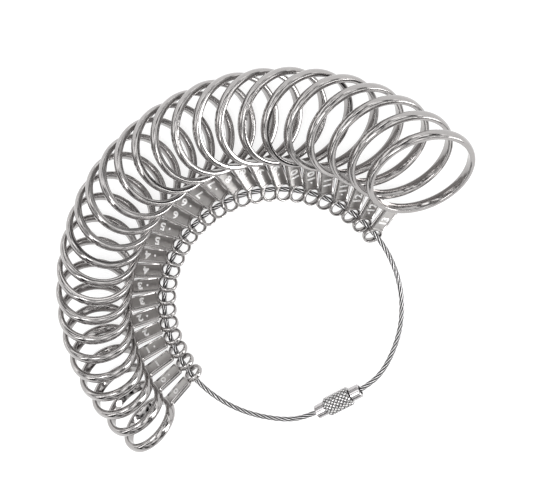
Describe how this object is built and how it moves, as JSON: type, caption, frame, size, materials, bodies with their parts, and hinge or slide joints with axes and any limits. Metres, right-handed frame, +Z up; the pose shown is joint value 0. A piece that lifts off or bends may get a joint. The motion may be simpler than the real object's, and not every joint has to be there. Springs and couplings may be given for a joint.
{
  "type": "ring sizer gauge set",
  "caption": "Metal ring gauges in half sizes, each a hoop with a numbered tag and eyelet, threaded on a wire-rope loop closed by a knurled screw barrel clasp.",
  "frame": {"origin": "on the table, under the middle of the set's box", "axes": "+Z up; -Y towards the clasp at the front; +X towards the largest gauge; the set lies flat as on a table"},
  "size_m": [0.1046, 0.082, 0.0181],
  "materials": {
    "polished_steel": "cast and polished, bright",
    "wire_rope": "drawn steel strands, satin",
    "clasp_steel": "turned and plated, bright",
    "knurled_steel": "diamond knurled, bright"
  },
  "bodies": {
    "loop": {"cable": "wire_rope", "stud_ferrule": "clasp_steel", "swivel_ferrule": "clasp_steel"},
    "gauge_0": {"gauge_0": "polished_steel"},
    "gauge_0_5": {"gauge_0_5": "polished_steel"},
    "gauge_1": {"gauge_1": "polished_steel"},
    "gauge_1_5": {"gauge_1_5": "polished_steel"},
    "gauge_2": {"gauge_2": "polished_steel"},
    "gauge_2_5": {"gauge_2_5": "polished_steel"},
    "gauge_3": {"gauge_3": "polished_steel"},
    "gauge_3_5": {"gauge_3_5": "polished_steel"},
    "gauge_4": {"gauge_4": "polished_steel"},
    "gauge_4_5": {"gauge_4_5": "polished_steel"},
    "gauge_5": {"gauge_5": "polished_steel"},
    "gauge_5_5": {"gauge_5_5": "polished_steel"},
    "gauge_6": {"gauge_6": "polished_steel"},
    "gauge_6_5": {"gauge_6_5": "polished_steel"},
    "gauge_7": {"gauge_7": "polished_steel"},
    "gauge_7_5": {"gauge_7_5": "polished_steel"},
    "gauge_8": {"gauge_8": "polished_steel"},
    "gauge_8_5": {"gauge_8_5": "polished_steel"},
    "gauge_9": {"gauge_9": "polished_steel"},
    "gauge_9_5": {"gauge_9_5": "polished_steel"},
    "gauge_10": {"gauge_10": "polished_steel"},
    "gauge_10_5": {"gauge_10_5": "polished_steel"},
    "gauge_11": {"gauge_11": "polished_steel"},
    "gauge_11_5": {"gauge_11_5": "polished_steel"},
    "gauge_12": {"gauge_12": "polished_steel"},
    "gauge_12_5": {"gauge_12_5": "polished_steel"},
    "gauge_13": {"gauge_13": "polished_steel"},
    "barrel": {"barrel": "knurled_steel"}
  },
  "joints": [
    {"name": "gauge_0_swing", "type": "hinge", "parent": "loop", "child": "gauge_0", "pos_m": [-0.02959, -0.01736, 0.00225], "axis": [-0.1806, 0.8955, 0.4067], "range_deg": [0, 62]},
    {"name": "gauge_0_5_swing", "type": "hinge", "parent": "loop", "child": "gauge_0_5", "pos_m": [-0.02992, -0.01408, 0.00225], "axis": [0.0588, -0.8918, -0.4487], "range_deg": [-62, 0]},
    {"name": "gauge_1_swing", "type": "hinge", "parent": "loop", "child": "gauge_1", "pos_m": [-0.02985, -0.01082, 0.00225], "axis": [0.0576, 0.8712, 0.4875], "range_deg": [0, 62]},
    {"name": "gauge_1_5_swing", "type": "hinge", "parent": "loop", "child": "gauge_1_5", "pos_m": [-0.02937, -0.00762, 0.00225], "axis": [-0.1665, -0.8357, -0.5233], "range_deg": [-62, 0]},
    {"name": "gauge_2_swing", "type": "hinge", "parent": "loop", "child": "gauge_2", "pos_m": [-0.02852, -0.00452, 0.00225], "axis": [0.2662, 0.7873, 0.5561], "range_deg": [0, 62]},
    {"name": "gauge_2_5_swing", "type": "hinge", "parent": "loop", "child": "gauge_2_5", "pos_m": [-0.02731, -0.00157, 0.00225], "axis": [-0.3557, -0.728, -0.5861], "range_deg": [-62, 0]},
    {"name": "gauge_3_swing", "type": "hinge", "parent": "loop", "child": "gauge_3", "pos_m": [-0.02577, 0.0012, 0.00225], "axis": [0.4341, 0.6598, 0.6133], "range_deg": [0, 62]},
    {"name": "gauge_3_5_swing", "type": "hinge", "parent": "loop", "child": "gauge_3_5", "pos_m": [-0.02391, 0.00375, 0.00225], "axis": [-0.5011, -0.5847, -0.6379], "range_deg": [-62, 0]},
    {"name": "gauge_4_swing", "type": "hinge", "parent": "loop", "child": "gauge_4", "pos_m": [-0.02177, 0.00605, 0.00225], "axis": [0.5566, 0.5045, 0.66], "range_deg": [0, 62]},
    {"name": "gauge_4_5_swing", "type": "hinge", "parent": "loop", "child": "gauge_4_5", "pos_m": [-0.01939, 0.00807, 0.00225], "axis": [-0.6007, -0.4209, -0.6798], "range_deg": [-62, 0]},
    {"name": "gauge_5_swing", "type": "hinge", "parent": "loop", "child": "gauge_5", "pos_m": [-0.01679, 0.00979, 0.00225], "axis": [0.6336, 0.3352, 0.6973], "range_deg": [0, 62]},
    {"name": "gauge_5_5_swing", "type": "hinge", "parent": "loop", "child": "gauge_5_5", "pos_m": [-0.01401, 0.01119, 0.00225], "axis": [-0.656, -0.2487, -0.7126], "range_deg": [-62, 0]},
    {"name": "gauge_6_swing", "type": "hinge", "parent": "loop", "child": "gauge_6", "pos_m": [-0.0111, 0.01225, 0.00225], "axis": [0.6683, 0.1626, 0.7259], "range_deg": [0, 62]},
    {"name": "gauge_6_5_swing", "type": "hinge", "parent": "loop", "child": "gauge_6_5", "pos_m": [-0.00808, 0.01296, 0.00225], "axis": [-0.6711, -0.0777, -0.7373], "range_deg": [-62, 0]},
    {"name": "gauge_7_swing", "type": "hinge", "parent": "loop", "child": "gauge_7", "pos_m": [-0.005, 0.01331, 0.00225], "axis": [0.665, -0.0054, 0.7468], "range_deg": [0, 62]},
    {"name": "gauge_7_5_swing", "type": "hinge", "parent": "loop", "child": "gauge_7_5", "pos_m": [-0.00189, 0.0133, 0.00225], "axis": [-0.6506, 0.0859, -0.7545], "range_deg": [-62, 0]},
    {"name": "gauge_8_swing", "type": "hinge", "parent": "loop", "child": "gauge_8", "pos_m": [0.00119, 0.01293, 0.00225], "axis": [0.6284, -0.1634, 0.7606], "range_deg": [0, 62]},
    {"name": "gauge_8_5_swing", "type": "hinge", "parent": "loop", "child": "gauge_8_5", "pos_m": [0.00422, 0.01219, 0.00225], "axis": [-0.5987, 0.2375, -0.7649], "range_deg": [-62, 0]},
    {"name": "gauge_9_swing", "type": "hinge", "parent": "loop", "child": "gauge_9", "pos_m": [0.00715, 0.01109, 0.00225], "axis": [0.562, -0.3078, 0.7677], "range_deg": [0, 62]},
    {"name": "gauge_9_5_swing", "type": "hinge", "parent": "loop", "child": "gauge_9_5", "pos_m": [0.00993, 0.00966, 0.00225], "axis": [-0.5186, 0.374, -0.7689], "range_deg": [-62, 0]},
    {"name": "gauge_10_swing", "type": "hinge", "parent": "loop", "child": "gauge_10", "pos_m": [0.01255, 0.00789, 0.00225], "axis": [0.4687, -0.4357, 0.7684], "range_deg": [0, 62]},
    {"name": "gauge_10_5_swing", "type": "hinge", "parent": "loop", "child": "gauge_10_5", "pos_m": [0.01494, 0.00581, 0.00225], "axis": [-0.4125, 0.4924, -0.7664], "range_deg": [-62, 0]},
    {"name": "gauge_11_swing", "type": "hinge", "parent": "loop", "child": "gauge_11", "pos_m": [0.01708, 0.00344, 0.00225], "axis": [0.3502, -0.5436, 0.7628], "range_deg": [0, 62]},
    {"name": "gauge_11_5_swing", "type": "hinge", "parent": "loop", "child": "gauge_11_5", "pos_m": [0.01893, 0.00081, 0.00225], "axis": [-0.282, 0.5888, -0.7575], "range_deg": [-62, 0]},
    {"name": "gauge_12_swing", "type": "hinge", "parent": "loop", "child": "gauge_12", "pos_m": [0.02046, -0.00204, 0.00225], "axis": [0.2079, -0.6272, 0.7506], "range_deg": [0, 62]},
    {"name": "gauge_12_5_swing", "type": "hinge", "parent": "loop", "child": "gauge_12_5", "pos_m": [0.02163, -0.00508, 0.00225], "axis": [-0.1285, 0.6581, -0.7419], "range_deg": [-62, 0]},
    {"name": "gauge_13_swing", "type": "hinge", "parent": "loop", "child": "gauge_13", "pos_m": [0.02243, -0.00828, 0.00225], "axis": [0.044, -0.6806, 0.7314], "range_deg": [0, 62]},
    {"name": "barrel_screw", "type": "hinge", "parent": "loop", "child": "barrel", "pos_m": [-0.00354, -0.03875, 0.00225], "axis": [1, 0, 0], "range_deg": [0, 1800]}
  ]
}
